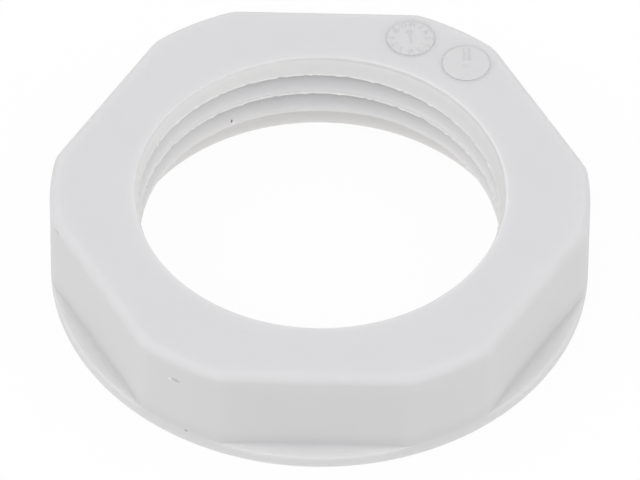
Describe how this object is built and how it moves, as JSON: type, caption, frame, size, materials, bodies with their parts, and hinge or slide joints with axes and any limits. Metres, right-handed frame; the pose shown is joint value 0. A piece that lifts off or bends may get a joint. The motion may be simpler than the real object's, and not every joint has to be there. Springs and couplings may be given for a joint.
{
  "type": "cable gland locknut",
  "caption": "Plastic cable gland locknut: flats above a thin round collar, with a right-hand internal thread between a plain lead-in and a counterbore.",
  "frame": {"origin": "centre of the collar's rest face, on the axis of the bore", "axes": "+Z along the bore axis from the rest face to the top face; one flat faces -Y and its opposite faces +Y"},
  "size_m": [0.0288, 0.0288, 0.006],
  "materials": {
    "plastic": "light grey moulded, fine satin"
  },
  "bodies": {
    "root": {"locknut": "plastic"}
  },
  "joints": []
}
